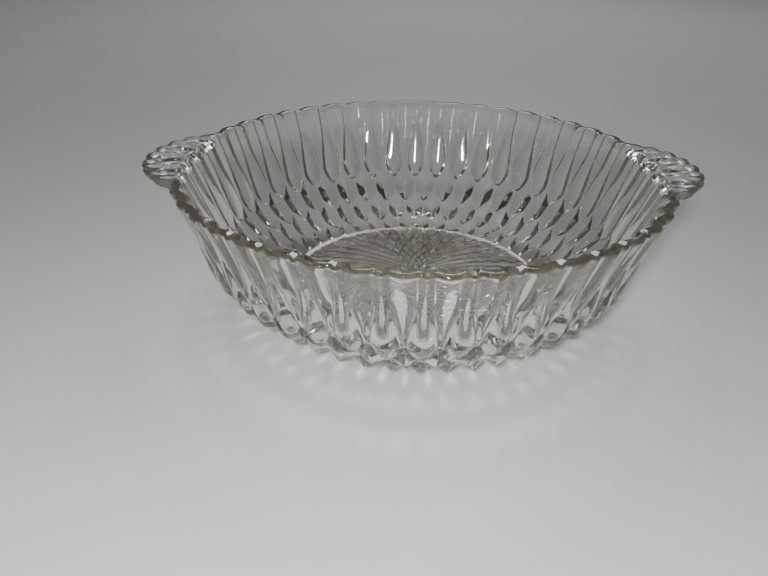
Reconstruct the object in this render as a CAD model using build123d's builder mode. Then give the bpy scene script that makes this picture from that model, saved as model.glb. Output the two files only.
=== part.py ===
from build123d import *
from math import hypot, radians
import os

os.makedirs("parts", exist_ok=True)

# Handled bowl of clear pressed glass. Real size in millimetres, +Z up.
# Origin: centre of the circle of points that the bowl rests on, with the handles along +X and -X.
# The bowl is one pressing. Each node is one region of its mould, and the regions meet face to face.

# Driving dimensions
HEIGHT = 68.5
FLUTES = 46
PITCH = 360 / FLUTES
HALF_PITCH = PITCH / 2
LIP_Z = 64.0                # the lip is the stretch above this height
HANDLE_REACH = 126.0        # centre to handle tip
HANDLE_HALF_WIDTH = 35.0

# Outer ground surface, the level between the raised points, as (radius, height)
GROUND_CENTRE = (14.0, 2.6)
GROUND_FLOOR = (64.0, 2.6)
GROUND_BEND = (73.0, 7.2)
GROUND_LOW = (83.5, 15.8)
GROUND_MID = (95.5, 28.4)
GROUND_TOP = (109.0, HEIGHT)

# Smooth inner surface
INNER_CENTRE = (14.0, 6.6)
INNER_FLOOR = (60.5, 6.6)
INNER_BEND = (69.6, 11.2)
INNER_LOW = (79.4, 19.4)
INNER_MID = (90.4, 31.0)
INNER_TOP = (105.6, HEIGHT)

# Raised detail
TONGUE_RADIUS = 10.5        # roundness of each wall tongue
TONGUE_PROUD = 2.2          # how far it stands out at the rim
TONGUE_TIP_Z = 31.0
COLUMN_TOP_RADIUS = 1.3
COLUMN_FOOT_RADIUS = 4.6
COLUMN_SINK = 0.4
COLUMN_FOOT_Z = 36.0
BULB_RADIUS = 7.3
BULB_PROUD = 2.5
BULB_Z = 33.8
POINT_HEIGHT = 3.0
POINT_SINK = 3.0            # depth of a point's root below the ground surface
POINT_FLAT = 0.5            # size of a point's flat tip against its foot
POINT_FILL = 0.9            # share of the pitch that a point covers
POINT_REACH = 0.62          # half of a point's length, as a share of the distance between rows
FOOT_ROW_RADIUS = 59.2
FLOOR_ROW_RATIO = 0.87      # each row of floor points is this much smaller than the one outside it
FLOOR_TIP_Z = 0.4

# Handle fan
FAN_CENTRE_X = 100.0
FAN_LOBES = 9
LOBE_RADIUS = 4.6
PLATE_TOP = 67.0
PLATE_BOTTOM = 64.2
RIDGES = 7
RIDGE_START = 13.0          # distance of a ridge's inner end from the fan's centre


def on_line(low, high, z):
    """Radius on the straight line between two profile points at height z."""
    return low[0] + (high[0] - low[0]) * (z - low[1]) / (high[1] - low[1])


def wall_radius(z):
    """Radius of the outer ground surface of the fluted wall."""
    return on_line(GROUND_MID, GROUND_TOP, z)


def inner_wall_radius(z):
    """Radius of the inner surface of the fluted wall."""
    return on_line(INNER_MID, INNER_TOP, z)


def tangent_plane(radius, z, low, high):
    """Plane at (radius, 0, z): local x runs up the profile line and local z points outwards."""
    run = Vector(high[0] - low[0], 0, high[1] - low[1]).normalized()
    return Plane(origin=(radius, 0, z), x_dir=run, z_dir=run.cross(Vector(0, -1, 0)))


# Tool body: everything inside the outer ground surface
with BuildPart() as ground:
    with BuildSketch(Plane.XZ):
        with BuildLine():
            Polyline((0, GROUND_CENTRE[1]), GROUND_CENTRE, GROUND_FLOOR)
            ThreePointArc(GROUND_FLOOR, GROUND_BEND, GROUND_LOW)
            Polyline(GROUND_LOW, GROUND_MID, GROUND_TOP, (0, HEIGHT), (0, GROUND_CENTRE[1]))
        make_face()
    revolve(axis=Axis.Z)

# Shell regions, from the middle outwards
with BuildPart() as floor_centre:
    with BuildSketch(Plane.XY.offset(GROUND_CENTRE[1])):
        Circle(GROUND_CENTRE[0])
    extrude(amount=INNER_CENTRE[1] - GROUND_CENTRE[1])

with BuildPart() as floor_field:
    with BuildSketch(Plane.XZ):
        with BuildLine():
            Polyline(GROUND_CENTRE, GROUND_FLOOR, INNER_FLOOR, INNER_CENTRE, close=True)
        make_face()
    revolve(axis=Axis.Z)

with BuildPart() as shoulder:
    with BuildSketch(Plane.XZ):
        with BuildLine():
            ThreePointArc(GROUND_FLOOR, GROUND_BEND, GROUND_LOW)
            Line(GROUND_LOW, INNER_LOW)
            ThreePointArc(INNER_LOW, INNER_BEND, INNER_FLOOR)
            Line(INNER_FLOOR, GROUND_FLOOR)
        make_face()
    revolve(axis=Axis.Z)

with BuildPart() as lower_wall:
    with BuildSketch(Plane.XZ):
        with BuildLine():
            Polyline(GROUND_LOW, GROUND_MID, INNER_MID, INNER_LOW, close=True)
        make_face()
    revolve(axis=Axis.Z)

with BuildPart() as upper_wall:
    with BuildSketch(Plane.XZ):
        with BuildLine():
            Polyline(
                GROUND_MID,
                (wall_radius(LIP_Z), LIP_Z),
                (inner_wall_radius(LIP_Z), LIP_Z),
                INNER_MID,
                close=True,
            )
        make_face()
    revolve(axis=Axis.Z)

with BuildPart() as lip:
    with BuildSketch(Plane.XZ):
        with BuildLine():
            Polyline(
                (wall_radius(LIP_Z), LIP_Z),
                GROUND_TOP,
                INNER_TOP,
                (inner_wall_radius(LIP_Z), LIP_Z),
                close=True,
            )
        make_face()
    revolve(axis=Axis.Z)

# A wall tongue is a leaning cylinder that sinks into the wall at its pointed lower tip.
TONGUE_LOW = (wall_radius(TONGUE_TIP_Z) - TONGUE_RADIUS, TONGUE_TIP_Z)
TONGUE_HIGH = (GROUND_TOP[0] + TONGUE_PROUD - TONGUE_RADIUS, HEIGHT)
TONGUE_RUN = Vector(TONGUE_HIGH[0] - TONGUE_LOW[0], 0, TONGUE_HIGH[1] - TONGUE_LOW[1])

with BuildPart() as whole_tongue:
    with BuildSketch(Plane(origin=(TONGUE_LOW[0], 0, TONGUE_LOW[1]), z_dir=TONGUE_RUN)):
        Circle(TONGUE_RADIUS)
    extrude(amount=TONGUE_RUN.length * 1.2)
    add(ground.part, mode=Mode.SUBTRACT)
    split(bisect_by=Plane.XY.offset(HEIGHT), keep=Keep.BOTTOM)

with BuildPart() as one_tongue:
    add(whole_tongue.part)
    split(bisect_by=Plane.XY.offset(LIP_Z), keep=Keep.BOTTOM)

with BuildPart() as one_scallop:
    add(whole_tongue.part)
    split(bisect_by=Plane.XY.offset(LIP_Z), keep=Keep.TOP)

with BuildPart() as wall_tongues:
    with PolarLocations(0, FLUTES):
        add(one_tongue.part)

# The lip keeps its scallops everywhere but behind the handles.
HANDLE_FLUTES = 2           # flutes on each side of a handle's middle that have no scallop
OPEN_FLUTES = FLUTES // 2 - 2 * HANDLE_FLUTES - 1

with BuildPart() as lip_scallops:
    for side in (0, 180):
        first = side + (HANDLE_FLUTES + 1) * PITCH
        last = first + (OPEN_FLUTES - 1) * PITCH
        with PolarLocations(0, OPEN_FLUTES, start_angle=first, angular_range=last - first, endpoint=True):
            add(one_scallop.part)

# Round bulb at the foot of each column
BULB_PLANE = tangent_plane(wall_radius(BULB_Z), BULB_Z, GROUND_MID, GROUND_TOP)

with BuildPart() as one_bulb:
    with Locations(BULB_PLANE.offset(BULB_PROUD - BULB_RADIUS)):
        Sphere(BULB_RADIUS)
    add(ground.part, mode=Mode.SUBTRACT)
    with PolarLocations(0, 2, start_angle=-HALF_PITCH, angular_range=PITCH, endpoint=True):
        add(one_tongue.part, mode=Mode.SUBTRACT)

with BuildPart() as column_bulbs:
    with PolarLocations(0, FLUTES, start_angle=HALF_PITCH):
        add(one_bulb.part)

# A column is a slim cone that widens downwards and ends on its bulb.
COLUMN_PLANE = tangent_plane(wall_radius(COLUMN_FOOT_Z), COLUMN_FOOT_Z, GROUND_MID, GROUND_TOP)
COLUMN_LENGTH = hypot(LIP_Z - COLUMN_FOOT_Z, wall_radius(LIP_Z) - wall_radius(COLUMN_FOOT_Z))
COLUMN_START = Plane(
    origin=COLUMN_PLANE.offset(-COLUMN_SINK).origin, x_dir=(0, 1, 0), z_dir=COLUMN_PLANE.x_dir
)

with BuildPart() as one_column:
    with BuildSketch(COLUMN_START):
        Circle(COLUMN_FOOT_RADIUS - COLUMN_SINK)
    with BuildSketch(COLUMN_START.offset(COLUMN_LENGTH)):
        Circle(COLUMN_TOP_RADIUS)
    loft()
    add(ground.part, mode=Mode.SUBTRACT)
    add(one_bulb.part, mode=Mode.SUBTRACT)
    split(bisect_by=Plane.XY.offset(LIP_Z), keep=Keep.BOTTOM)
    with PolarLocations(0, 2, start_angle=-HALF_PITCH, angular_range=PITCH, endpoint=True):
        add(one_tongue.part, mode=Mode.SUBTRACT)

with BuildPart() as wall_columns:
    with PolarLocations(0, FLUTES, start_angle=HALF_PITCH):
        add(one_column.part)


def raised_point(plane, up, down, height, above, two_above):
    """Six-sided point with a flat tip, on a plane at a radius.

    Its ends lie up and down by the given lengths and its sides half a pitch away. What it shares
    is cut away: with the ground, with the two above it, and with the one two rows above."""
    half_width = POINT_FILL * plane.origin.X * radians(PITCH) / 2
    with BuildPart() as point:
        for offset, scale in ((-POINT_SINK, 1 + (1 - POINT_FLAT) * POINT_SINK / height), (height, POINT_FLAT)):
            corners = (
                (up, 0), (0.4 * up, half_width), (-0.4 * down, half_width),
                (-down, 0), (-0.4 * down, -half_width), (0.4 * up, -half_width),
            )
            with BuildSketch(plane.offset(offset)):
                Polygon(*[(scale * x, scale * y) for x, y in corners], align=None)
        loft()
        add(ground.part, mode=Mode.SUBTRACT)
        with PolarLocations(0, 2, start_angle=-HALF_PITCH, angular_range=PITCH, endpoint=True):
            add(above, mode=Mode.SUBTRACT)
        add(two_above, mode=Mode.SUBTRACT)
    return point.part


# Three rows of large points go round the bend, each half a pitch from the next. The first starts
# under the bulbs. The bowl rests on the flat tips of the fourth row, which lie in one plane.
BEND_ARC = Edge.make_three_point_arc(
    *[Vector(radius, 0, z) for radius, z in (GROUND_FLOOR, GROUND_BEND, GROUND_LOW)]
)
LOWER_ROW = (BEND_ARC.position_at(0.25).X, BEND_ARC.position_at(0.25).Z)
MIDDLE_ROW = (BEND_ARC.position_at(0.75).X, BEND_ARC.position_at(0.75).Z)
UPPER_ROW = ((GROUND_LOW[0] + GROUND_MID[0]) / 2, (GROUND_LOW[1] + GROUND_MID[1]) / 2)


def reach(low, high):
    """Half of a point's length when its row lies between two profile points."""
    return POINT_REACH * hypot(high[0] - low[0], high[1] - low[1])


UPPER_REACH = reach(GROUND_LOW, GROUND_MID)
MIDDLE_REACH = reach(GROUND_BEND, GROUND_LOW)
LOWER_REACH = reach(GROUND_FLOOR, GROUND_BEND)
one_upper_point = raised_point(
    tangent_plane(*UPPER_ROW, GROUND_LOW, GROUND_MID),
    UPPER_REACH, UPPER_REACH, POINT_HEIGHT, one_bulb.part, one_tongue.part,
)
one_middle_point = raised_point(
    tangent_plane(*MIDDLE_ROW, GROUND_BEND, GROUND_LOW),
    MIDDLE_REACH, MIDDLE_REACH, POINT_HEIGHT, one_upper_point, one_bulb.part,
)
one_lower_point = raised_point(
    tangent_plane(*LOWER_ROW, GROUND_FLOOR, GROUND_BEND),
    LOWER_REACH, LOWER_REACH, POINT_HEIGHT, one_middle_point, one_upper_point,
)


def floor_plane(radius):
    """Plane under the floor at a radius: local x runs outwards and local z points down."""
    return Plane(origin=(radius, 0, GROUND_FLOOR[1]), x_dir=(1, 0, 0), z_dir=(0, 0, -1))


FOOT_REACH = POINT_REACH * FOOT_ROW_RADIUS * (1 / FLOOR_ROW_RATIO - 1)
one_foot_point = raised_point(
    floor_plane(FOOT_ROW_RADIUS), FOOT_REACH, FOOT_REACH * FLOOR_ROW_RATIO, GROUND_FLOOR[1],
    one_lower_point, one_middle_point,
)

with BuildPart() as upper_points:
    with PolarLocations(0, FLUTES):
        add(one_upper_point)

with BuildPart() as middle_points:
    with PolarLocations(0, FLUTES, start_angle=HALF_PITCH):
        add(one_middle_point)

with BuildPart() as lower_points:
    with PolarLocations(0, FLUTES):
        add(one_lower_point)

with BuildPart() as foot_points:
    with PolarLocations(0, FLUTES, start_angle=HALF_PITCH):
        add(one_foot_point)

# Rows of smaller points go on under the floor, towards the middle.
floor_rows = [one_lower_point, one_foot_point]
for row in range(1, 5):
    scale = FLOOR_ROW_RATIO**row
    floor_rows.append(
        raised_point(
            floor_plane(FOOT_ROW_RADIUS * scale), FOOT_REACH * scale, FOOT_REACH * scale * FLOOR_ROW_RATIO,
            GROUND_FLOOR[1] - FLOOR_TIP_Z, floor_rows[-1], floor_rows[-2],
        )
    )

with BuildPart() as outer_floor_points:
    for row in (1, 2):
        with PolarLocations(0, FLUTES, start_angle=HALF_PITCH * ((row + 1) % 2)):
            add(floor_rows[row + 1])

with BuildPart() as inner_floor_points:
    for row in (3, 4):
        with PolarLocations(0, FLUTES, start_angle=HALF_PITCH * ((row + 1) % 2)):
            add(floor_rows[row + 1])

# Right handle: a fan-shaped plate at rim level with a scalloped edge
FAN_DEPTH = HANDLE_REACH - FAN_CENTRE_X


def fan_point(angle, inset):
    """Point of the fan's ellipse at a parameter angle, moved inwards by inset."""
    turned = Vector(1, 0).rotate(Axis.Z, angle)
    return (FAN_CENTRE_X + (FAN_DEPTH - inset) * turned.X, (HANDLE_HALF_WIDTH - inset) * turned.Y)


FAN_STEP = 150 / (FAN_LOBES - 1)

with BuildPart() as right_plate:
    with BuildSketch(Plane.XY.offset(PLATE_BOTTOM)):
        with Locations((FAN_CENTRE_X, 0)):
            Ellipse(FAN_DEPTH - 1.8, HANDLE_HALF_WIDTH - 1.8)
        with Locations(*[fan_point(-75 + i * FAN_STEP, LOBE_RADIUS) for i in range(FAN_LOBES)]):
            Circle(LOBE_RADIUS)
        with Locations((inner_wall_radius(LIP_Z), 0)):
            Rectangle(60, 90, align=(Align.MAX, Align.CENTER), mode=Mode.SUBTRACT)
    extrude(amount=PLATE_TOP - PLATE_BOTTOM)
    add(ground.part, mode=Mode.SUBTRACT)
    add(lip_scallops.part, mode=Mode.SUBTRACT)

# Ridges that fan out over the plate's top
RIDGE_STEP = 120 / (RIDGES - 1)

with BuildPart() as right_ridges:
    for i in range(RIDGES):
        with BuildSketch(Plane.XY.offset(PLATE_TOP)):
            angle = -60 + i * RIDGE_STEP
            with BuildLine():
                Polyline(
                    fan_point(angle - 2.5, RIDGE_START),
                    fan_point(angle - RIDGE_STEP * 0.36, 2.4),
                    fan_point(angle + RIDGE_STEP * 0.36, 2.4),
                    fan_point(angle + 2.5, RIDGE_START),
                    close=True,
                )
            make_face()
        extrude(amount=HEIGHT - PLATE_TOP, taper=25)
    add(ground.part, mode=Mode.SUBTRACT)
    add(lip_scallops.part, mode=Mode.SUBTRACT)

with BuildPart() as left_plate:
    add(right_plate.part.rotate(Axis.Z, 180))

with BuildPart() as left_ridges:
    add(right_ridges.part.rotate(Axis.Z, 180))

NODES = {
    "floor_centre": floor_centre,
    "floor_field": floor_field,
    "shoulder": shoulder,
    "lower_wall": lower_wall,
    "upper_wall": upper_wall,
    "lip": lip,
    "lip_scallops": lip_scallops,
    "wall_tongues": wall_tongues,
    "wall_columns": wall_columns,
    "column_bulbs": column_bulbs,
    "upper_points": upper_points,
    "middle_points": middle_points,
    "lower_points": lower_points,
    "foot_points": foot_points,
    "outer_floor_points": outer_floor_points,
    "inner_floor_points": inner_floor_points,
    "right_handle": right_plate,
    "right_handle_ridges": right_ridges,
    "left_handle": left_plate,
    "left_handle_ridges": left_ridges,
}

for node_name, node in NODES.items():
    node.part.label = node_name
    export_step(node.part, f"parts/{node_name}.step")
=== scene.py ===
"""A clear pressed-glass bowl with two fan handles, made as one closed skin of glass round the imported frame."""

from math import pi

import bpy
import numpy as np
from bpy.props import FloatProperty, FloatVectorProperty, IntProperty, PointerProperty
from mathutils import Matrix, Vector


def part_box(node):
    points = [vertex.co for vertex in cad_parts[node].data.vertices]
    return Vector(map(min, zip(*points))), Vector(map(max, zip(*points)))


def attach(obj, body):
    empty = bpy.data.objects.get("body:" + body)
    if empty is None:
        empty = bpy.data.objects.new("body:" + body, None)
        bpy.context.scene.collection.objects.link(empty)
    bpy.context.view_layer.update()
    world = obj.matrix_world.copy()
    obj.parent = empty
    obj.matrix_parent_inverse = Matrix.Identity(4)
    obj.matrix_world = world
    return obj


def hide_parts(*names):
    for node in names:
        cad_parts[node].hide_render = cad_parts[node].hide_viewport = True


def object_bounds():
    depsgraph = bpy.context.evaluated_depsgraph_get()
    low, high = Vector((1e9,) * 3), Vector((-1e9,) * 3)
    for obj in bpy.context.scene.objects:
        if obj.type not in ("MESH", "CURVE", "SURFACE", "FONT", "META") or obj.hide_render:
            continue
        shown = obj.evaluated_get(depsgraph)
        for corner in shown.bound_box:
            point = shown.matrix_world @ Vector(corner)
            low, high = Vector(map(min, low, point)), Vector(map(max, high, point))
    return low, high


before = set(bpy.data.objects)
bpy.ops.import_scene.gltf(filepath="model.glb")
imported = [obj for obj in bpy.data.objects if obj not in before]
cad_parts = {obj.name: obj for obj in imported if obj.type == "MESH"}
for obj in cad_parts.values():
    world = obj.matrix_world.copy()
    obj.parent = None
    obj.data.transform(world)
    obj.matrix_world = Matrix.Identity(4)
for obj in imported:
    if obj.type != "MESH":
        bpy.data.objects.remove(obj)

bl_info = {
    "name": "Pressed Glass Bowl",
    "version": (1, 0, 0),
    "blender": (4, 5, 0),
    "location": "View3D > Sidebar > Glass Bowl",
    "description": "Makes a handled bowl of clear pressed glass and a plain stage for it",
    "category": "Add Mesh",
}

CAD_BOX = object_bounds()
HEIGHT = CAD_BOX[1][2]                       # the lip's highest point
REACH = CAD_BOX[1][0]                        # centre to handle tip
LIP_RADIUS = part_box("lip")[1][0]             # outer ground surface at the lip
PLATE_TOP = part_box("right_handle")[1][2]     # the level between the handle's ridges
HANDLE_HALF_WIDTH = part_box("right_handle")[1][1]

FINE = 16                                    # columns of the mesh in one flute, where the glass is shaped
COARSE = 8                                   # the same, where it is smooth or close to the middle
HALF = FINE // COARSE                        # step through the fine columns that leaves the coarse ones
TONGUE = 0.0                                 # phase of what stands in line with a wall tongue
COLUMN = 0.5                                 # phase of what stands in line with a column
BEND_ROWS = 3                                # rows of large points round the bend


class BowlShape(bpy.types.PropertyGroup):
    """Sizes of the plain bowl, before any relief"""

    flutes: IntProperty(name="Flutes", description="Tongues round the wall", default=46)
    outer_mid: FloatVectorProperty(
        name="Outer wall foot", description="Radius and height where the fluted wall starts",
        size=2, unit="LENGTH", default=(0.0955, 0.0284),
    )
    outer_low: FloatVectorProperty(
        name="Outer bend top", description="Radius and height where the bend under the wall starts",
        size=2, unit="LENGTH", default=(0.0835, 0.0158),
    )
    outer_bend: FloatVectorProperty(
        name="Outer bend", description="Radius and height of the middle of the bend",
        size=2, unit="LENGTH", default=(0.0730, 0.0072),
    )
    outer_floor: FloatVectorProperty(
        name="Underside edge", description="Radius and height where the flat underside starts",
        size=2, unit="LENGTH", default=(0.0640, 0.0026),
    )
    inner_top: FloatProperty(
        name="Inner lip radius", description="Radius of the inside at the lip",
        unit="LENGTH", default=0.1056,
    )
    inner_mid: FloatVectorProperty(
        name="Inner wall foot", description="Radius and height where the inner wall starts",
        size=2, unit="LENGTH", default=(0.0904, 0.0310),
    )
    inner_low: FloatVectorProperty(
        name="Inner bend", description="Radius and height of the middle of the inner bend",
        size=2, unit="LENGTH", default=(0.0745, 0.0150),
    )
    inner_floor: FloatVectorProperty(
        name="Inner floor edge", description="Radius and height where the flat inner floor starts",
        size=2, unit="LENGTH", default=(0.0605, 0.0066),
    )
    lip_round: FloatProperty(
        name="Lip rounding", description="Radius of the fire-polished edges of the lip",
        unit="LENGTH", default=0.0012,
    )
    inner_wave: FloatProperty(
        name="Inner wave", description="How far the inside of the lip follows the tongues",
        unit="LENGTH", default=0.0010,
    )


class ReliefShape(bpy.types.PropertyGroup):
    """Heights of what is raised on the outside"""

    tongue_height: FloatProperty(
        name="Tongue height", description="How far a tongue stands out at the lip",
        unit="LENGTH", default=0.0022,
    )
    column_height: FloatProperty(
        name="Column height", description="How far a column stands out at the lip",
        unit="LENGTH", default=0.0012,
    )
    column_width: FloatProperty(
        name="Column width", description="Half of a column's width at the lip, as a share of a flute",
        default=0.15,
    )
    bulb_height: FloatProperty(
        name="Bulb height", description="How far a column stands out at its full lower end",
        unit="LENGTH", default=0.0026,
    )
    bend_heights: FloatVectorProperty(
        name="Point heights", description="How far the three rows of points round the bend stand out",
        size=3, unit="LENGTH", default=(0.0034, 0.0036, 0.0028),
    )
    zigzag: FloatProperty(
        name="Zigzag", description="How far neighbouring rows of points reach between each other",
        default=0.45,
    )
    floor_edge: FloatProperty(
        name="Floor edge", description="Radius where the rows under the floor begin",
        unit="LENGTH", default=0.0635,
    )
    row_ratio: FloatProperty(
        name="Row ratio", description="Radius of each row of floor points against the one outside it",
        default=0.87,
    )
    floor_rows: IntProperty(name="Floor rows", description="Rows of points under the floor", default=9)
    floor_steepness: FloatProperty(
        name="Floor steepness", description="Highest floor point against the pitch of its row", default=0.30,
    )


class HandleShape(bpy.types.PropertyGroup):
    """Sizes of the two fan handles"""

    fan_centre: FloatProperty(
        name="Fan centre", description="Distance of the fan's centre from the bowl's centre",
        unit="LENGTH", default=0.100,
    )
    lobes: IntProperty(name="Lobes", description="Lobes round the edge of a fan", default=9)
    fan_angle: FloatProperty(
        name="Fan angle", description="Angle between the first lobe and the last",
        subtype="ANGLE", default=150 * pi / 180,
    )
    notch: FloatProperty(
        name="Notch depth", description="Depth of the notches between the lobes",
        unit="LENGTH", default=0.0012,
    )


class GlassLook(bpy.types.PropertyGroup):
    """Look of the glass"""

    tint: FloatVectorProperty(
        name="Tint", description="Colour that the light keeps in thick glass",
        subtype="COLOR", default=(0.80, 0.795, 0.735),
    )
    density: FloatProperty(name="Tint density", description="Strength of the tint per metre", default=55.0)
    ior: FloatProperty(name="Index of refraction", description="Soda-lime glass", default=1.52)
    ripple: FloatProperty(
        name="Ripple", description="Strength of the mould's faint ripple", default=0.03,
    )


class StageLook(bpy.types.PropertyGroup):
    """Look of the floor and the lights"""

    floor_colour: FloatVectorProperty(
        name="Floor colour", description="Colour of the pale floor",
        subtype="COLOR", default=(0.55, 0.545, 0.54),
    )
    key_power: FloatProperty(
        name="Key light", description="Power of the small light by the camera", default=2.6,
    )
    soft_power: FloatProperty(
        name="Soft light", description="Power of the large light above and behind", default=12.0,
    )
    world: FloatProperty(
        name="Room light", description="Strength of the light from all round", default=0.11,
    )


# ---------------------------------------------------------------- curves

def smooth(x):
    """3x^2 - 2x^3 between 0 and 1, and flat outside."""
    x = np.clip(x, 0.0, 1.0)
    return x * x * (3.0 - 2.0 * x)


def blend(first, second, share):
    """first + share (second - first)."""
    return first + share * (second - first)


def rounded_path(points, step=0.0002, reach=0.0022):
    """A polyline walked at even steps, its corners rounded by a moving average over twice the reach.

    Returns (distance, radius, height) arrays; the distance is measured along the polyline."""
    points = np.array(points)
    corner = np.concatenate([[0.0], np.cumsum(np.hypot(*np.diff(points, axis=0).T))])
    s = np.arange(-reach, corner[-1] + reach, step)
    width = int(2 * reach / step) | 1
    kernel = np.hanning(width + 2)[1:-1]
    kernel /= kernel.sum()
    ends = (points[0] - points[1], points[-1] - points[-2])
    out = []
    for axis in (0, 1):
        values = np.interp(s, corner, points[:, axis])
        before = ends[0][axis] / corner[1] * np.maximum(-s, 0)
        after = ends[1][axis] / (corner[-1] - corner[-2]) * np.maximum(s - corner[-1], 0)
        straight = values + before + after
        padded = np.pad(straight, width // 2, mode="reflect", reflect_type="odd")
        out.append(np.convolve(padded, kernel, mode="valid"))
    return s, out[0], out[1]


class OuterGround:
    """The outer surface before its relief: where it is, and which way it faces, at a distance s down it."""

    def __init__(self, bowl):
        self.points = [
            (LIP_RADIUS, HEIGHT), tuple(bowl.outer_mid), tuple(bowl.outer_low),
            tuple(bowl.outer_bend), tuple(bowl.outer_floor), (0.0, bowl.outer_floor[1]),
        ]
        self.s, self.r, self.z = rounded_path(self.points)
        turn_r = np.gradient(self.r, self.s)
        turn_z = np.gradient(self.z, self.s)
        size = np.hypot(turn_r, turn_z)
        self.out_r, self.out_z = -turn_z / size, turn_r / size

    def at(self, s):
        """Radius, height, and outward direction (radius, height) at s."""
        return tuple(np.interp(s, self.s, v) for v in (self.r, self.z, self.out_r, self.out_z))

    def s_at_height(self, z):
        """Distance down the wall to height z."""
        return float(np.interp(-z, -self.z, self.s))

    def s_at_radius(self, r):
        """Distance down and under to radius r."""
        return float(np.interp(-r, -self.r, self.s))


# ---------------------------------------------------------------- relief

def phase_distance(turn, phase):
    """Distance from the nearest feature of a row, in flutes: 0 on its middle and 0.5 halfway to the next."""
    return np.abs((turn - phase + 0.5) % 1.0 - 0.5)


def row_edges(ground, look):
    """Where one row of points ends and the next begins, as distances down the outside.

    The first edge is the lower end of the columns. Two more go round the bend, and the rest shrink
    towards the middle of the underside, each row_ratio times the radius of the one before."""
    bend = [ground.s_at_height(ground.points[k][1]) for k in (1, 2, 3)]
    radii = look.floor_edge * look.row_ratio ** np.arange(look.floor_rows + 1)
    return np.array(bend + [ground.s_at_radius(radius) for radius in radii])


def row_number(edges, s):
    """Number v at a distance down the outside: whole on the edges of the rows, negative on the wall."""
    v = np.interp(s, edges, np.arange(len(edges)))
    return np.where(s < edges[0], (s - edges[0]) / (edges[1] - edges[0]), v)


def rounded_step(x):
    """1 - (1 - x)^2 between 0 and 1, and flat outside: a step with a rounded shoulder."""
    return 1.0 - (1.0 - np.clip(x, 0.0, 1.0)) ** 2


def bend_points(look, v, turn):
    """Height of the three rows of large points round the bend.

    A point of row k covers |v - k - 1/2| < 1/2 + zigzag (1/2 - a), with a = 2 d the distance from
    its middle as a share of its half width, so that the rows meet along a zigzag. With e the
    distance left to the zigzag, its height is -w ln(exp(-e / (b w)) + exp(-(1 - a) / (c w))) times
    its rise: six facets of lengths b and c, whose edges are rounded by w."""
    rounding, end_length, side_length = 0.12, 0.6, 0.85
    height = 0.0
    for k, rise in enumerate(look.bend_heights):
        a = 2.0 * phase_distance(turn, TONGUE if k % 2 == 0 else COLUMN)
        left = 0.5 + look.zigzag * (0.5 - a) - np.abs(v - k - 0.5)
        end, side = left / (end_length * rounding), (1.0 - a) / (side_length * rounding)
        facets = -rounding * np.logaddexp(-end, -side)
        height = np.maximum(height, rise * facets)
    return height


def floor_points(ground, look, flutes, s, v, turn):
    """Height of the rows under the floor: rise / 2 * (1 + sin(pi v) cos(2 pi turn)).

    The sine changes sign from row to row, so each row lies half a flute round from the next. The
    bowl rests on the first row, and the others stay clear of what it stands on."""
    clear_share = 0.85
    radius = np.interp(s, ground.s, ground.r)
    floor_level = ground.points[-1][1]
    room = np.where(v < BEND_ROWS + 1, 1.0, clear_share) * floor_level
    pitch = 2 * pi * radius / flutes
    egg_crate = 0.5 * (1.0 + np.sin(pi * v) * np.cos(2 * pi * turn))
    end = smooth((look.floor_rows + BEND_ROWS - v) / 0.5)
    return np.minimum(room, look.floor_steepness * pitch) * egg_crate * end


def relief(ground, look, flutes, s, turn):
    """Height of the relief at distance s down the outside and turn, the angle counted in flutes.

    The wall is tongues and columns side by side, each with the section rise (1 - (d / half)^2). A
    column widens and rises downwards to a full round end, while the tongues between the columns run
    out in tips. Below them come the rows of points."""
    column_end_width, wall_shoulder = 0.44, 0.38
    edges = row_edges(ground, look)
    v = row_number(edges, s)
    t = np.clip(s / edges[0], 0.0, 1.0)
    from_tongue = phase_distance(turn, TONGUE)
    from_column = phase_distance(turn, COLUMN)
    half_column = blend(look.column_width, column_end_width, smooth((t - 0.30) / 0.60))
    column_rise = blend(look.column_height, look.bulb_height, smooth((t - 0.25) / 0.65))
    tongue_rise = look.tongue_height * (1.0 - 0.5 * t)
    column = column_rise * np.maximum(1.0 - (from_column / half_column) ** 2, 0.0)
    tongue = tongue_rise * np.maximum(1.0 - (from_tongue / (0.5 - half_column)) ** 2, 0.0)
    left = 0.5 * look.zigzag * np.cos(2 * pi * from_column) - v
    wall = np.maximum(tongue, column) * rounded_step(left / wall_shoulder)

    large, small = bend_points(look, v, turn), floor_points(ground, look, flutes, s, v, turn)
    points = blend(large, small, smooth((v - BEND_ROWS + 0.15) / 0.3))
    return np.where(v < 0.5, np.maximum(wall, points), points)


# ---------------------------------------------------------------- handles

def handle_reach(angle, fan):
    """Radius of the fan's scalloped edge in each direction, and 0 where there is no handle.

    The fan is half an ellipse about its own centre; the edge is the far crossing of the ray with it,
    drawn in between the lobes by the notch depth times 1 - |cos|^0.8."""
    across, along = np.sin(angle), np.abs(np.cos(angle))
    long = REACH - fan.fan_centre
    a = along**2 / long**2 + across**2 / HANDLE_HALF_WIDTH**2
    b = -2 * fan.fan_centre * along / long**2
    c = fan.fan_centre**2 / long**2 - 1.0
    inside = b * b - 4 * a * c
    reach = np.where(inside > 0, (-b + np.sqrt(np.maximum(inside, 0))) / (2 * a), 0.0)
    lobe = lobe_place(reach, angle, fan)
    return np.maximum(reach - fan.notch * between_lobes(lobe), 0.0)


def lobe_place(radius, angle, fan):
    """Number of a lobe, whole on its middle, seen from the fan's centre."""
    x = (radius * np.abs(np.cos(angle)) - fan.fan_centre) / (REACH - fan.fan_centre)
    y = radius * np.sin(angle) / HANDLE_HALF_WIDTH
    turned = np.arctan2(y, np.maximum(x, 1e-3))
    return turned / fan.fan_angle * (fan.lobes - 1) + (fan.lobes - 1) / 2


def between_lobes(place):
    """1 - |cos(pi place)|^0.8: 0 on the middle of a lobe and 1 in the notch between two."""
    return 1.0 - np.abs(np.cos(pi * place)) ** 0.8


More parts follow.
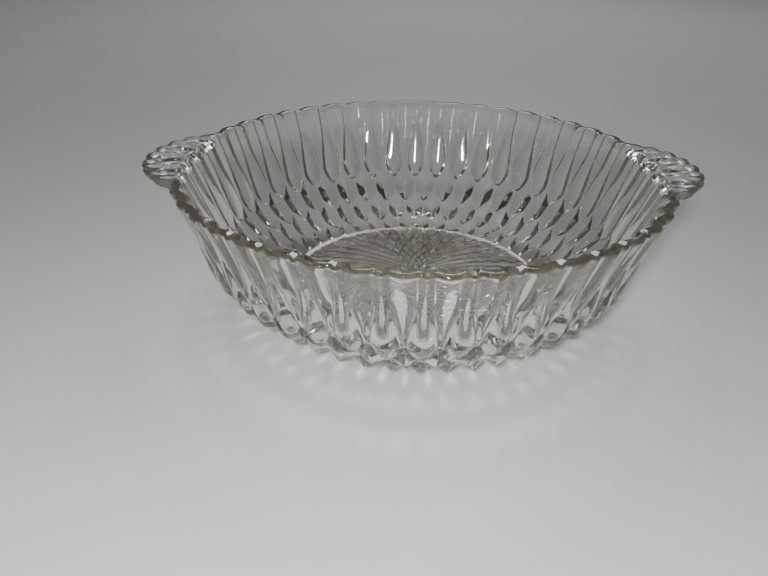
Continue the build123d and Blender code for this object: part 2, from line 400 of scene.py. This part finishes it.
# ---------------------------------------------------------------- skin

def ring(radius, z, angle):
    """One row of the skin: points at (radius, z) for each angle."""
    one = np.ones_like(angle)
    return np.stack([radius * np.cos(angle), radius * np.sin(angle), z * one], axis=-1)


def skin_rows(bowl, look, fan):
    """All rows of the skin, from the middle of the inner floor, over the lip and down to the underside.

    Returns the rows of points, which of their cells are split the other way, and the two middle
    points. Rows inside and under the floor have COARSE columns in a flute, and the others FINE."""
    ground = OuterGround(bowl)
    columns = bowl.flutes * FINE
    angle = np.arange(columns) / columns * 2 * pi
    turn = angle / (2 * pi) * bowl.flutes
    wave = bowl.inner_wave * np.cos(2 * pi * turn)
    lip = LIP_RADIUS + relief(ground, look, bowl.flutes, 0.0 * angle, turn) * ground.at(0.0)[2]
    plate = np.maximum(handle_reach(angle, fan) - lip, 0.0)

    rows = inside_rows(bowl, angle, wave)
    rows += lip_rows(bowl, fan, angle, turn, bowl.inner_top + wave, lip + plate, smooth(plate / 0.004))
    rows += plate_rows(ground, look, bowl.flutes, angle, turn, plate)
    stations = outside_stations(ground, look)
    crossings = crease_splits(ground, look, bowl.flutes, stations, turn, len(rows))
    for station, every in stations:
        rows.append(relief_ring(ground, look, bowl.flutes, station, angle[::every], turn[::every]))
    return rows, crossings, (0.0, 0.0, bowl.inner_floor[1]), (0.0, 0.0, ground.points[-1][1])


def inside_rows(bowl, angle, wave):
    """The inside, up to just below the lip, whose wave fades towards the floor."""
    path = [
        (0.0, bowl.inner_floor[1]), tuple(bowl.inner_floor), tuple(bowl.inner_low),
        tuple(bowl.inner_mid), (bowl.inner_top, HEIGHT),
    ]
    reach, wave_start, wave_rise = 0.006, 0.016, 0.050
    s, r, z = rounded_path(path, reach=reach)
    length = s[-1] - reach
    floor, bend = np.linspace(0.012, 0.054, 4), np.linspace(0.057, 0.100, 15)
    wall, under_lip = np.linspace(0.106, length - 0.008, 4), np.linspace(length - 0.0055, length - 0.0015, 3)
    rows = []
    for stations, every in ((floor, HALF), (bend, HALF), (wall, HALF), (under_lip, 1)):
        for station in stations:
            radius, height = np.interp(station, s, r), np.interp(station, s, z)
            fade = smooth((height - wave_start) / wave_rise)
            rows.append(ring(radius + fade * wave[::every], height, angle[::every]))
    return rows


def lip_rows(bowl, fan, angle, turn, inner, outer, on_plate):
    """The top from its inner radius to its outer one, notched over each column and ribbed on the handles.

    on_plate is 1 in the directions that have a handle and 0 in the others."""
    notch_depth, notch_width, rib_share = 0.0007, 0.16, 0.5
    rib_start, rib_rise = 0.0035, 0.006
    notch = notch_depth * smooth(1.0 - phase_distance(turn, COLUMN) / notch_width)
    q = bowl.lip_round

    def top(radius):
        """Height of the upper face."""
        out = smooth((radius - bowl.inner_top - rib_start) / rib_rise)
        groove = rib_share * (HEIGHT - PLATE_TOP) * between_lobes(lobe_place(radius, angle, fan))
        return HEIGHT - blend(notch, groove, on_plate * out)

    rows = []
    for bend in (0.15, 0.5, 0.85):
        tilt = bend * pi / 2
        radius = inner + q * (1 - np.cos(tilt))
        rows.append(ring(radius, top(radius) - q * (1 - np.sin(tilt)), angle))
    for share in np.linspace(0.0, 1.0, 9):
        radius = blend(inner + q, outer - q, share)
        rows.append(ring(radius, top(radius), angle))
    for bend in (0.3, 0.65, 1.0):
        tilt = bend * pi / 2
        rows.append(ring(outer - q * (1 - np.sin(tilt)), top(outer - q) - q * (1 - np.cos(tilt)), angle))
    return rows


def plate_rows(ground, look, flutes, angle, turn, plate):
    """Edge and underside of the handle plates, which are the top of the wall where there is no plate.

    Each row lies at a depth below the lip and stands out by a share of the plate's width."""
    rows = []
    for depth, share in (
        (0.0030, 1.00), (0.0037, 0.985), (0.0041, 0.94), (0.0043, 0.80),
        (0.0045, 0.55), (0.0048, 0.28), (0.0053, 0.10), (0.0062, 0.0),
    ):
        station = ground.s_at_height(HEIGHT - depth)
        rows.append(relief_ring(ground, look, flutes, station, angle, turn, share * plate))
    return rows


def outside_stations(ground, look):
    """Where the rows lie down the wall, round the bend and under the floor, with the columns they skip.

    Every row of large points gets 12 rows of the mesh, and every row of floor points gets 4."""
    large, small = 12, 4
    edges = row_edges(ground, look)
    upper_wall = np.linspace(ground.s_at_height(HEIGHT - 0.0075), ground.s_at_height(0.0390), 12)
    lower_wall = np.linspace(ground.s_at_height(0.0380), edges[0], 14)[:-1]
    bend = np.interp(np.arange(large * BEND_ROWS + 1) / large, np.arange(BEND_ROWS + 1), edges[:BEND_ROWS + 1])
    floor_count = np.arange(1, small * look.floor_rows + 1) / small
    floor = np.interp(floor_count, np.arange(look.floor_rows + 1), edges[BEND_ROWS:])
    wall_and_bend = [(station, 1) for station in (*upper_wall, *lower_wall, *bend)]
    return wall_and_bend + [(station, HALF) for station in floor]


def crease_splits(ground, look, flutes, stations, turn, first):
    """Which four-sided cells of the outer surface are split along their other diagonal.

    Of the two diagonals, the split takes the one whose middle is nearer the true relief there, so
    that the creases stay sharp. Returns one array of yes or no for each row number, from first on."""
    crossings = {}
    for row, ((s_a, every), (s_b, next_every)) in enumerate(zip(stations, stations[1:]), first):
        if every != next_every:
            continue
        corner = turn[::every]
        upper = relief(ground, look, flutes, s_a + 0.0 * corner, corner)
        lower = relief(ground, look, flutes, s_b + 0.0 * corner, corner)
        between = corner + (corner[1] - corner[0]) / 2
        middle = relief(ground, look, flutes, (s_a + s_b) / 2 + 0.0 * corner, between)
        usual = np.abs((upper + np.roll(lower, -1)) / 2 - middle)
        other = np.abs((np.roll(upper, -1) + lower) / 2 - middle)
        crossings[row] = other < usual
    return crossings


def relief_ring(ground, look, flutes, station, angle, turn, extra=0.0):
    """One row of the outer surface, moved out by its relief, and sideways by an extra radius."""
    radius, height, out_r, out_z = ground.at(station)
    rise = relief(ground, look, flutes, station + 0.0 * angle, turn)
    return ring(radius + rise * out_r + extra, height + rise * out_z, angle)


def bridge(first_a, count_a, first_b, count_b, crossed=None):
    """Triangles between two closed rows of vertices, where one may have twice as many as the other."""
    if count_a == count_b:
        i = np.arange(count_a)
        j = (i + 1) % count_a
        a, b, c, d = first_a + i, first_a + j, first_b + j, first_b + i
        if crossed is not None:
            kept, turned = (a, b, c, d), (b, c, d, a)
            a, b, c, d = (np.where(crossed, new, old) for new, old in zip(turned, kept))
        return np.concatenate([np.stack([a, b, c], -1), np.stack([a, c, d], -1)])
    if count_a > count_b:
        return bridge(first_b, count_b, first_a, count_a)[:, ::-1]
    k = np.arange(count_a)
    n = (k + 1) % count_a
    left, middle, right = 2 * k, 2 * k + 1, (2 * k + 2) % count_b
    return np.concatenate([
        np.stack([first_a + k, first_b + middle, first_b + left], -1),
        np.stack([first_a + k, first_a + n, first_b + middle], -1),
        np.stack([first_a + n, first_b + right, first_b + middle], -1),
    ])


def fan_to_point(first, count, point):
    """Triangles from a closed row to one vertex."""
    i = np.arange(count)
    j = (i + 1) % count
    return np.stack([np.full(count, point), first + i, first + j], -1)


def closed_skin(rows, crossings, start, finish):
    """Vertices and triangles of the closed surface through the rows and the two middle points."""
    points = np.concatenate([np.array([start]), *rows, np.array([finish])])
    counts = [len(row) for row in rows]
    firsts = 1 + np.concatenate([[0], np.cumsum(counts)])
    faces = [fan_to_point(firsts[0], counts[0], 0)]
    for k in range(len(rows) - 1):
        cells = bridge(firsts[k], counts[k], firsts[k + 1], counts[k + 1], crossings.get(k))
        faces.append(cells[:, ::-1])
    faces.append(fan_to_point(firsts[-2], counts[-1], len(points) - 1)[:, ::-1])
    faces = np.concatenate(faces)
    a, b, c = (points[faces[:, k]] for k in range(3))
    if np.einsum("ij,ij->i", a, np.cross(b, c)).sum() < 0:
        faces = faces[:, ::-1]
    return points, faces


def mesh_object(name, points, faces, material):
    """A smooth-shaded object from arrays, in the scene, at the origin."""
    mesh = bpy.data.meshes.new(name)
    mesh.vertices.add(len(points))
    mesh.vertices.foreach_set("co", points.astype(np.float32).ravel())
    mesh.loops.add(faces.size)
    mesh.loops.foreach_set("vertex_index", faces.astype(np.int32).ravel())
    mesh.polygons.add(len(faces))
    mesh.polygons.foreach_set("loop_start", np.arange(0, faces.size, faces.shape[1], dtype=np.int32))
    mesh.update(calc_edges=True)
    mesh.polygons.foreach_set("use_smooth", np.ones(len(faces), dtype=bool))
    mesh.validate()
    mesh.materials.append(material)
    piece = bpy.data.objects.new(name, mesh)
    bpy.context.scene.collection.objects.link(piece)
    return piece


# ---------------------------------------------------------------- materials

def new_material(name):
    """A node material with nothing but its Principled shader and output; returns it, its nodes and links."""
    material = bpy.data.materials.new(name)
    material.use_nodes = True
    return material, material.node_tree.nodes, material.node_tree.links


def noise(nodes, links, scale, detail):
    """Output of a noise texture that is fixed to the object."""
    place = nodes.new("ShaderNodeTexCoord")
    texture = nodes.new("ShaderNodeTexNoise")
    texture.inputs["Scale"].default_value = scale
    texture.inputs["Detail"].default_value = detail
    links.new(place.outputs["Object"], texture.inputs["Vector"])
    return texture.outputs["Fac"]


def glass_material(look):
    """Clear pressed glass: a faint ripple from the mould, some haze, and a tint that grows with thickness."""
    material, nodes, links = new_material("clear_pressed_glass")
    shader = nodes["Principled BSDF"]
    shader.inputs["Base Color"].default_value = (1.0, 1.0, 1.0, 1.0)
    shader.inputs["Transmission Weight"].default_value = 1.0
    shader.inputs["IOR"].default_value = look.ior

    bump = nodes.new("ShaderNodeBump")
    bump.inputs["Strength"].default_value = look.ripple
    bump.inputs["Distance"].default_value = 0.0006
    links.new(noise(nodes, links, scale=90.0, detail=2.0), bump.inputs["Height"])
    links.new(bump.outputs["Normal"], shader.inputs["Normal"])

    limits = nodes.new("ShaderNodeMapRange")
    limits.inputs["From Min"].default_value = 0.45
    limits.inputs["From Max"].default_value = 0.75
    limits.inputs["To Min"].default_value = 0.0
    limits.inputs["To Max"].default_value = 0.05
    links.new(noise(nodes, links, scale=35.0, detail=5.0), limits.inputs["Value"])
    links.new(limits.outputs["Result"], shader.inputs["Roughness"])

    absorb = nodes.new("ShaderNodeVolumeAbsorption")
    absorb.inputs["Color"].default_value = (*look.tint, 1.0)
    absorb.inputs["Density"].default_value = look.density
    links.new(absorb.outputs["Volume"], nodes["Material Output"].inputs["Volume"])
    return material


def floor_material(look):
    """Pale laminate: one colour with a very faint mottle."""
    material, nodes, links = new_material("pale_floor")
    shader = nodes["Principled BSDF"]
    shader.inputs["Roughness"].default_value = 0.45
    tones = nodes.new("ShaderNodeValToRGB")
    tones.color_ramp.elements[0].color = (*(0.96 * c for c in look.floor_colour), 1.0)
    tones.color_ramp.elements[1].color = (*(1.04 * c for c in look.floor_colour), 1.0)
    links.new(noise(nodes, links, scale=14.0, detail=4.0), tones.inputs["Fac"])
    links.new(tones.outputs["Color"], shader.inputs["Base Color"])
    return material


# ---------------------------------------------------------------- operators

class GLASSBOWL_OT_bowl(bpy.types.Operator):
    """Make the bowl's skin of pressed glass, handles included"""

    bl_idname = "glassbowl.bowl"
    bl_label = "Glass bowl"

    def execute(self, context):
        scene = context.scene
        points, faces = closed_skin(*skin_rows(scene.bowl_shape, scene.relief_shape, scene.handle_shape))
        piece = mesh_object("pressed_glass_bowl", points, faces, glass_material(scene.glass_look))
        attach(piece, "root")
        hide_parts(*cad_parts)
        return {"FINISHED"}


class GLASSBOWL_OT_stage(bpy.types.Operator):
    """Make the pale floor, the soft lights and the camera"""

    bl_idname = "glassbowl.stage"
    bl_label = "Stage"

    def execute(self, context):
        scene = context.scene
        look = scene.stage_look
        half = 4.0
        corners = np.array([(-half, -half, 0.0), (half, -half, 0.0), (half, half, 0.0), (-half, half, 0.0)])
        floor = mesh_object("floor", corners, np.array([[0, 1, 2, 3]]), floor_material(look))
        area_light("key_light", (-0.04, -0.38, 0.25), target=(0.0, 0.0, 0.03), size=0.05, power=look.key_power)
        area_light("soft_light", (0.1, 1.3, 1.3), target=(0.0, 0.5, 0.0), size=0.8, power=look.soft_power)
        room_light(look.world)
        place_camera()
        return {"FINISHED"}


def area_light(name, place, target, size, power):
    """A round light at a place, turned towards a target."""
    data = bpy.data.lights.new(name, "AREA")
    data.shape = "DISK"
    data.size = size
    data.energy = power
    light = bpy.data.objects.new(name, data)
    light.location = place
    light.rotation_euler = (Vector(target) - Vector(place)).to_track_quat("-Z", "Y").to_euler()
    bpy.context.scene.collection.objects.link(light)


def room_light(strength):
    """An even grey room."""
    world = bpy.data.worlds.new("room")
    world.use_nodes = True
    background = world.node_tree.nodes["Background"]
    background.inputs["Color"].default_value = (0.80, 0.80, 0.82, 1.0)
    background.inputs["Strength"].default_value = strength
    bpy.context.scene.world = world


def place_camera():
    """The camera looks down over the front of the lip, turned and tilted very slightly."""
    data = bpy.data.cameras.new("camera")
    data.lens = 31.05
    data.sensor_width = 36.0
    data.clip_start = 0.01
    camera = bpy.data.objects.new("camera", data)
    heading, down, roll = (degrees * pi / 180 for degrees in (1.146, 29.61, 0.96))
    turned = Matrix.Rotation(heading, 4, "Z") @ Matrix.Rotation(pi / 2 - down, 4, "X")
    turned = turned @ Matrix.Rotation(roll, 4, "Z")
    camera.matrix_world = Matrix.Translation((-0.00997, -0.29209, 0.16683)) @ turned
    bpy.context.scene.collection.objects.link(camera)
    bpy.context.scene.camera = camera


class GLASSBOWL_PT_panel(bpy.types.Panel):
    """Buttons for the bowl and its stage"""

    bl_idname = "GLASSBOWL_PT_panel"
    bl_label = "Glass Bowl"
    bl_space_type = "VIEW_3D"
    bl_region_type = "UI"
    bl_category = "Glass Bowl"

    def draw(self, context):
        for operator in (GLASSBOWL_OT_bowl, GLASSBOWL_OT_stage):
            self.layout.operator(operator.bl_idname)


GROUPS = {
    "bowl_shape": BowlShape,
    "relief_shape": ReliefShape,
    "handle_shape": HandleShape,
    "glass_look": GlassLook,
    "stage_look": StageLook,
}
CLASSES = (*GROUPS.values(), GLASSBOWL_OT_bowl, GLASSBOWL_OT_stage, GLASSBOWL_PT_panel)


def register():
    for cls in CLASSES:
        bpy.utils.register_class(cls)
    for name, group in GROUPS.items():
        setattr(bpy.types.Scene, name, PointerProperty(type=group))


def unregister():
    for name in GROUPS:
        delattr(bpy.types.Scene, name)
    for cls in reversed(CLASSES):
        bpy.utils.unregister_class(cls)


def set_light_paths(cycles):
    """Enough bounces for light that is caught in the wall, and bright enough glints and caustics."""
    cycles.max_bounces = cycles.transmission_bounces = cycles.glossy_bounces = 24
    cycles.sample_clamp_indirect = 60.0
    cycles.blur_glossy = 0.1


def main():
    register()
    bpy.ops.glassbowl.bowl()
    bpy.ops.glassbowl.stage()
    set_light_paths(bpy.context.scene.cycles)
    bpy.context.view_layer.update()


if __name__ == "__main__":
    main()
